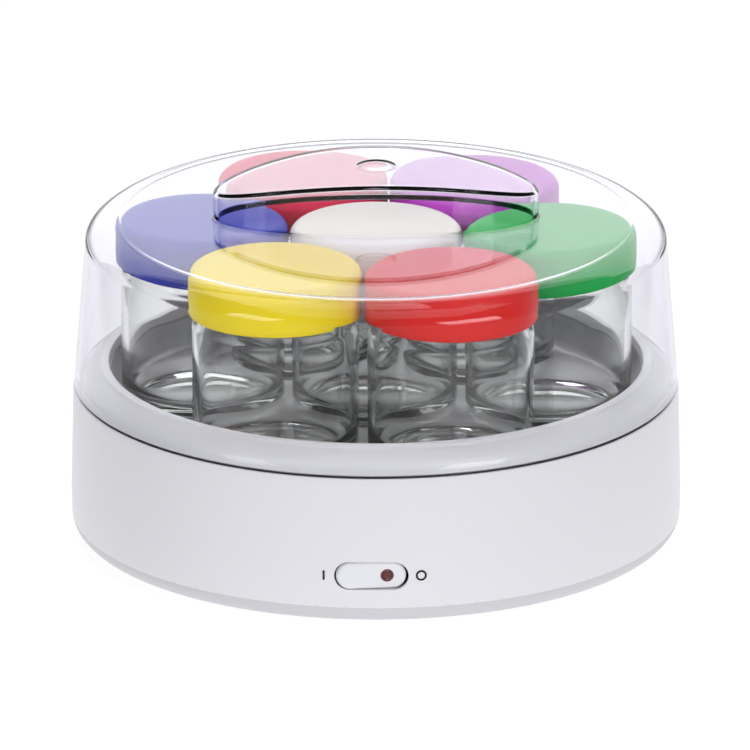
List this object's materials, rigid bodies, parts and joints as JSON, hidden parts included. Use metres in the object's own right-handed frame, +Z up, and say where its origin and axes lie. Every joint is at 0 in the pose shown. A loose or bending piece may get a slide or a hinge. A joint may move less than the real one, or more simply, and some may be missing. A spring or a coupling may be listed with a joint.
{
  "type": "yogurt maker",
  "caption": "Round electric yogurt maker: a heated base with a basin of capped glass jars under a clear domed cover with a raised handle.",
  "frame": {"origin": "on the table, under the middle of the base", "axes": "+Z up; the switch faces -Y, the cord inlet +Y; the handle lies about along X"},
  "size_m": [0.245, 0.2466, 0.1519],
  "materials": {
    "housing_white": "glossy",
    "plate_white": "satin",
    "foot_rubber": "matte",
    "screw_steel": "plain",
    "basin_aluminium": "satin",
    "gasket_silicone": "matte",
    "clip_steel": "plain",
    "heater_foil": "satin",
    "insulation_felt": "matte",
    "thermostat_dark": "matte",
    "fuse_metal": "polished",
    "switch_black": "matte",
    "terminal_brass": "plain",
    "lamp_glass": "clear",
    "rocker_white": "glossy",
    "lens_red": "clear",
    "gland_grey": "satin",
    "block_ivory": "matte",
    "wire_brown": "satin",
    "wire_black": "satin",
    "wire_blue": "satin",
    "cover_clear": "clear",
    "jar_glass": "clear",
    "cap_white": "satin",
    "cap_green": "satin",
    "cap_violet": "satin",
    "cap_pink": "satin",
    "cap_blue": "satin",
    "cap_yellow": "satin",
    "cap_red": "satin"
  },
  "bodies": {
    "base": {"base_housing": "housing_white", "bottom_plate": "plate_white", "rubber_feet": "foot_rubber", "housing_screws": "screw_steel", "basin": "basin_aluminium", "basin_gasket": "gasket_silicone", "basin_clips": "clip_steel", "clip_screws": "screw_steel", "heater_plate": "heater_foil", "insulation_pad": "insulation_felt", "heater_bracket": "clip_steel", "heater_nut": "screw_steel", "thermostat": "thermostat_dark", "thermal_fuse": "fuse_metal", "fuse_clip": "clip_steel", "switch_body": "switch_black", "switch_terminals": "terminal_brass", "indicator_lamp": "lamp_glass", "cord_gland": "gland_grey", "terminal_block": "block_ivory", "terminal_screws": "terminal_brass", "lead_live": "wire_brown", "lead_switched": "wire_black", "lead_fused": "wire_black", "lead_heater": "wire_black", "lead_neutral": "wire_blue"},
    "rocker": {"rocker_button": "rocker_white", "rocker_lens": "lens_red"},
    "cover": {"cover": "cover_clear"},
    "jar_center": {"jar_center": "jar_glass"},
    "cap_center": {"cap_center": "cap_white"},
    "jar_right": {"jar_right": "jar_glass"},
    "cap_right": {"cap_right": "cap_green"},
    "jar_back_right": {"jar_back_right": "jar_glass"},
    "cap_back_right": {"cap_back_right": "cap_violet"},
    "jar_back_left": {"jar_back_left": "jar_glass"},
    "cap_back_left": {"cap_back_left": "cap_pink"},
    "jar_left": {"jar_left": "jar_glass"},
    "cap_left": {"cap_left": "cap_blue"},
    "jar_front_left": {"jar_front_left": "jar_glass"},
    "cap_front_left": {"cap_front_left": "cap_yellow"},
    "jar_front_right": {"jar_front_right": "jar_glass"},
    "cap_front_right": {"cap_front_right": "cap_red"}
  },
  "joints": [
    {"name": "cover_lift", "type": "slide", "parent": "base", "child": "cover", "axis": [0, 0, 1], "range_m": [0, 0.3]},
    {"name": "rocker_tilt", "type": "hinge", "parent": "base", "child": "rocker", "pos_m": [0, -0.1175, 0.0215], "axis": [0, 0, -1], "range_deg": [0, 12]},
    {"name": "jar_center_lift", "type": "slide", "parent": "base", "child": "jar_center", "axis": [0, 0, 1], "range_m": [0, 0.106]},
    {"name": "cap_center_lift", "type": "slide", "parent": "jar_center", "child": "cap_center", "axis": [0, 0, 1], "range_m": [0, 0.031]},
    {"name": "jar_right_lift", "type": "slide", "parent": "base", "child": "jar_right", "axis": [0, 0, 1], "range_m": [0, 0.106]},
    {"name": "cap_right_lift", "type": "slide", "parent": "jar_right", "child": "cap_right", "axis": [0, 0, 1], "range_m": [0, 0.031]},
    {"name": "jar_back_right_lift", "type": "slide", "parent": "base", "child": "jar_back_right", "axis": [0, 0, 1], "range_m": [0, 0.106]},
    {"name": "cap_back_right_lift", "type": "slide", "parent": "jar_back_right", "child": "cap_back_right", "axis": [0, 0, 1], "range_m": [0, 0.031]},
    {"name": "jar_back_left_lift", "type": "slide", "parent": "base", "child": "jar_back_left", "axis": [0, 0, 1], "range_m": [0, 0.106]},
    {"name": "cap_back_left_lift", "type": "slide", "parent": "jar_back_left", "child": "cap_back_left", "axis": [0, 0, 1], "range_m": [0, 0.031]},
    {"name": "jar_left_lift", "type": "slide", "parent": "base", "child": "jar_left", "axis": [0, 0, 1], "range_m": [0, 0.106]},
    {"name": "cap_left_lift", "type": "slide", "parent": "jar_left", "child": "cap_left", "axis": [0, 0, 1], "range_m": [0, 0.031]},
    {"name": "jar_front_left_lift", "type": "slide", "parent": "base", "child": "jar_front_left", "axis": [0, 0, 1], "range_m": [0, 0.106]},
    {"name": "cap_front_left_lift", "type": "slide", "parent": "jar_front_left", "child": "cap_front_left", "axis": [0, 0, 1], "range_m": [0, 0.031]},
    {"name": "jar_front_right_lift", "type": "slide", "parent": "base", "child": "jar_front_right", "axis": [0, 0, 1], "range_m": [0, 0.106]},
    {"name": "cap_front_right_lift", "type": "slide", "parent": "jar_front_right", "child": "cap_front_right", "axis": [0, 0, 1], "range_m": [0, 0.031]}
  ],
  "couplings": [
    {"joint": "jar_center_lift", "follows": "cover_lift", "ratio": 0.35},
    {"joint": "cap_center_lift", "follows": "cover_lift", "ratio": 0.1},
    {"joint": "jar_right_lift", "follows": "cover_lift", "ratio": 0.35},
    {"joint": "cap_right_lift", "follows": "cover_lift", "ratio": 0.1},
    {"joint": "jar_back_right_lift", "follows": "cover_lift", "ratio": 0.35},
    {"joint": "cap_back_right_lift", "follows": "cover_lift", "ratio": 0.1},
    {"joint": "jar_back_left_lift", "follows": "cover_lift", "ratio": 0.35},
    {"joint": "cap_back_left_lift", "follows": "cover_lift", "ratio": 0.1},
    {"joint": "jar_left_lift", "follows": "cover_lift", "ratio": 0.35},
    {"joint": "cap_left_lift", "follows": "cover_lift", "ratio": 0.1},
    {"joint": "jar_front_left_lift", "follows": "cover_lift", "ratio": 0.35},
    {"joint": "cap_front_left_lift", "follows": "cover_lift", "ratio": 0.1},
    {"joint": "jar_front_right_lift", "follows": "cover_lift", "ratio": 0.35},
    {"joint": "cap_front_right_lift", "follows": "cover_lift", "ratio": 0.1}
  ]
}
